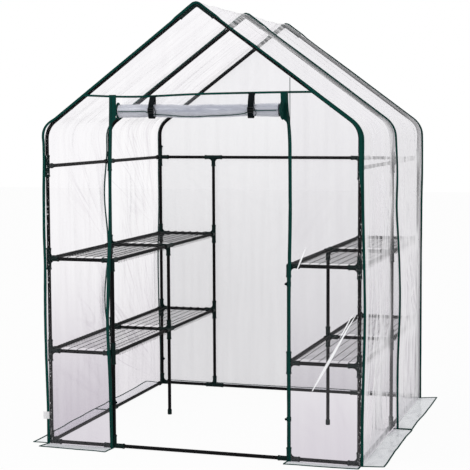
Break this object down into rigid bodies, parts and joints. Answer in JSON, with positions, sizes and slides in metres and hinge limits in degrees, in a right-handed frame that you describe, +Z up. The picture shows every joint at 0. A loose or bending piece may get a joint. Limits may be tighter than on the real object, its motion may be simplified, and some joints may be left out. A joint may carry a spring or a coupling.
{
  "type": "walk-in plastic greenhouse with shelves",
  "caption": "Walk-in greenhouse, 1.4 m square: tube frame in moulded connectors, wire mesh shelves on two levels each side, clear film cover with a rolled-up zip door.",
  "frame": {"origin": "middle of the footprint, on the ground", "axes": "+Z up, the door faces -Y, +X to the right as seen from the front"},
  "size_m": [1.6086, 1.6086, 1.9494],
  "materials": {
    "tube": "satin",
    "connector": "satin",
    "mesh_wire": "satin",
    "film": "clear gloss",
    "binding": "woven tape",
    "strap": "woven webbing",
    "tag": "plain"
  },
  "bodies": {
    "root": {"base_connectors": "connector", "care_tag": "tag", "door_ties": "strap", "door_zipper_tapes": "binding", "eave_connectors": "connector", "foot_caps": "connector", "front_arch_tubes": "tube", "front_base_tubes": "tube", "front_gable_film": "film", "front_left_film": "film", "front_right_film": "film", "front_seam_binding": "binding", "front_skirts": "film", "header_tape": "binding", "left_inner_posts": "tube", "left_lower_mesh_shelves": "mesh_wire", "left_lower_shelf_connectors": "connector", "left_lower_shelf_rails": "tube", "left_outer_posts": "tube", "left_roof_film": "film", "left_skirt": "film", "left_upper_mesh_shelves": "mesh_wire", "left_upper_shelf_connectors": "connector", "left_upper_shelf_rails": "tube", "left_wall_film": "film", "middle_arch_tubes": "tube", "middle_seam_binding": "binding", "rear_arch_tubes": "tube", "rear_base_tubes": "tube", "rear_eave_bar": "tube", "rear_seam_binding": "binding", "rear_skirt": "film", "rear_wall_film": "film", "ridge_elbows": "connector", "right_inner_posts": "tube", "right_lower_mesh_shelves": "mesh_wire", "right_lower_shelf_connectors": "connector", "right_lower_shelf_rails": "tube", "right_outer_posts": "tube", "right_roof_film": "film", "right_skirt": "film", "right_upper_mesh_shelves": "mesh_wire", "right_upper_shelf_connectors": "connector", "right_upper_shelf_rails": "tube", "right_wall_film": "film", "rolled_door": "film", "side_base_tubes": "tube", "side_eave_bars": "tube", "tie_buckles": "strap"}
  },
  "joints": []
}
